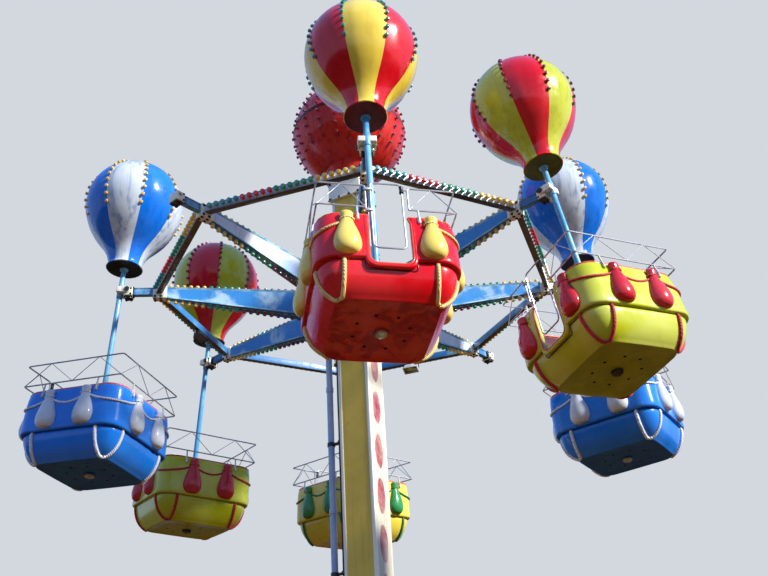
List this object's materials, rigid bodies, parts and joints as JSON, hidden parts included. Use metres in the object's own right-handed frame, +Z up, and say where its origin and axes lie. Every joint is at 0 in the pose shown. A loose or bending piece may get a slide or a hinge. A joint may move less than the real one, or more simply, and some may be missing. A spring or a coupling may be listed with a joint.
{
  "type": "balloon tower ride",
  "caption": "Tower ride: a lifting, turning star of arms on a mast carries swinging, spinning balloon gondolas with square baskets, guard rails and gates.",
  "frame": {"origin": "centre of the underside of the mast's base plate, where the mast is bolted to its foundation", "axes": "+Z up along the mast; -Y towards the front arm, the one that carries the red basket"},
  "size_m": [7.5217, 7.6371, 10.75],
  "materials": {
    "steel_grey": "satin grey paint",
    "mast_yellow": "semi-gloss yellow paint",
    "cream": "semi-gloss cream paint",
    "crown_red": "glossy red-orange moulding",
    "pipe_grey": "blue-grey paint",
    "dark_grey": "dark grease-marked paint",
    "star_blue": "sky-blue paint with white cloud mottling",
    "pole_blue": "glossy blue paint",
    "bare_wire": "zinc-plated wire",
    "gondola_red": "glossy red moulding",
    "gondola_lime": "glossy lime-yellow moulding",
    "gondola_blue": "glossy blue moulding",
    "gondola_yellow": "glossy yellow moulding"
  },
  "bodies": {
    "tower": {"base_plate": "steel_grey", "mast": "mast_yellow", "mast_head": "cream", "crown_ball": "crown_red", "lift_pipe": "pipe_grey"},
    "carriage": {"carriage_sleeve": "dark_grey", "slewing_ring": "steel_grey"},
    "star": {"hub": "star_blue", "arm_0": "star_blue", "arm_1": "star_blue", "arm_2": "star_blue", "arm_3": "star_blue", "arm_4": "star_blue", "arm_5": "star_blue", "arm_6": "star_blue", "arm_7": "star_blue", "tie_0": "star_blue", "tie_1": "star_blue", "tie_2": "star_blue", "tie_3": "star_blue", "tie_4": "star_blue", "tie_5": "star_blue", "tie_6": "star_blue", "tie_7": "star_blue", "floodlight_5": "cream", "floodlight_7": "dark_grey"},
    "swing_2": {"hanger_2": "pole_blue", "balloon_2": "gondola_red"},
    "car_2": {"basket_2": "gondola_red", "guard_rail_2": "bare_wire"},
    "door_2": {"gate_2": "bare_wire"},
    "swing_3": {"hanger_3": "pole_blue", "balloon_3": "gondola_lime"},
    "car_3": {"basket_3": "gondola_lime", "guard_rail_3": "bare_wire"},
    "door_3": {"gate_3": "bare_wire"},
    "swing_4": {"hanger_4": "pole_blue", "balloon_4": "gondola_blue"},
    "car_4": {"basket_4": "gondola_blue", "guard_rail_4": "bare_wire"},
    "door_4": {"gate_4": "bare_wire"},
    "swing_6": {"hanger_6": "pole_blue", "balloon_6": "gondola_yellow"},
    "car_6": {"basket_6": "gondola_yellow", "guard_rail_6": "bare_wire"},
    "door_6": {"gate_6": "bare_wire"},
    "swing_7": {"hanger_7": "pole_blue", "balloon_7": "gondola_lime"},
    "car_7": {"basket_7": "gondola_lime", "guard_rail_7": "bare_wire"},
    "door_7": {"gate_7": "bare_wire"},
    "swing_0": {"hanger_0": "pole_blue", "balloon_0": "gondola_blue"},
    "car_0": {"basket_0": "gondola_blue", "guard_rail_0": "bare_wire"},
    "door_0": {"gate_0": "bare_wire"}
  },
  "joints": [
    {"name": "lift", "type": "slide", "parent": "tower", "child": "carriage", "axis": [0, 0, 1], "range_m": [-4.85, 0.1]},
    {"name": "slew", "type": "hinge", "parent": "carriage", "child": "star", "pos_m": [0, 0, 7.6], "axis": [0, 0, 1], "continuous": true},
    {"name": "swing_2", "type": "hinge", "parent": "star", "child": "swing_2", "pos_m": [0, -2.758, 7.6], "axis": [-1, 0, 0], "range_deg": [-13.1, 11.9]},
    {"name": "spin_2", "type": "hinge", "parent": "swing_2", "child": "car_2", "pos_m": [0, -3.13358, 5.32901], "axis": [0, 0.1236, 0.9923], "continuous": true},
    {"name": "gate_2", "type": "hinge", "parent": "car_2", "child": "door_2", "pos_m": [-0.0651, -3.63614, 6.29856], "axis": [0, -0.1236, -0.9923], "range_deg": [0, 85]},
    {"name": "swing_3", "type": "hinge", "parent": "star", "child": "swing_3", "pos_m": [1.9502, -1.9502, 7.6], "axis": [-0.7071, -0.7071, 0], "range_deg": [-14.6, 10.4]},
    {"name": "spin_3", "type": "hinge", "parent": "swing_3", "child": "car_3", "pos_m": [2.25772, -2.25772, 5.33962], "axis": [-0.1057, 0.1057, 0.9888], "continuous": true},
    {"name": "gate_3", "type": "hinge", "parent": "car_3", "child": "door_3", "pos_m": [1.55114, -2.26267, 6.17482], "axis": [0.1057, -0.1057, -0.9888], "range_deg": [0, 85]},
    {"name": "swing_4", "type": "hinge", "parent": "star", "child": "swing_4", "pos_m": [2.758, 0, 7.6], "axis": [0, -1, 0], "range_deg": [-9.5, 15.5]},
    {"name": "spin_4", "type": "hinge", "parent": "swing_4", "child": "car_4", "pos_m": [2.99024, 0, 5.30991], "axis": [-0.061, 0, 0.9981], "continuous": true},
    {"name": "gate_4", "type": "hinge", "parent": "car_4", "child": "door_4", "pos_m": [3.40388, 0.40797, 6.23689], "axis": [0.061, 0, -0.9981], "range_deg": [0, 85]},
    {"name": "swing_6", "type": "hinge", "parent": "star", "child": "swing_6", "pos_m": [0, 2.758, 7.6], "axis": [1, 0, 0], "range_deg": [-12, 13]},
    {"name": "spin_6", "type": "hinge", "parent": "swing_6", "child": "car_6", "pos_m": [0, 3.08991, 5.32222], "axis": [0, -0.1045, 0.9945], "continuous": true},
    {"name": "gate_6", "type": "hinge", "parent": "car_6", "child": "door_6", "pos_m": [-0.28228, 3.54701, 6.27522], "axis": [0, 0.1045, -0.9945], "range_deg": [0, 85]},
    {"name": "swing_7", "type": "hinge", "parent": "star", "child": "swing_7", "pos_m": [-1.9502, 1.9502, 7.6], "axis": [0.7071, 0.7071, 0], "range_deg": [-12.4, 12.6]},
    {"name": "spin_7", "type": "hinge", "parent": "swing_7", "child": "car_7", "pos_m": [-2.19614, 2.19614, 5.32459], "axis": [0.0788, -0.0788, 0.9938], "continuous": true},
    {"name": "gate_7", "type": "hinge", "parent": "car_7", "child": "door_7", "pos_m": [-2.28371, 2.72362, 6.27902], "axis": [-0.0788, 0.0788, -0.9938], "range_deg": [0, 85]},
    {"name": "swing_0", "type": "hinge", "parent": "star", "child": "swing_0", "pos_m": [-2.758, 0, 7.6], "axis": [0, 1, 0], "range_deg": [-9.5, 15.5]},
    {"name": "spin_0", "type": "hinge", "parent": "swing_0", "child": "car_0", "pos_m": [-2.99024, 0, 5.30991], "axis": [0.061, 0, 0.9981], "continuous": true},
    {"name": "gate_0", "type": "hinge", "parent": "car_0", "child": "door_0", "pos_m": [-3.44991, 0.34787, 6.2397], "axis": [-0.061, 0, -0.9981], "range_deg": [0, 85]}
  ]
}
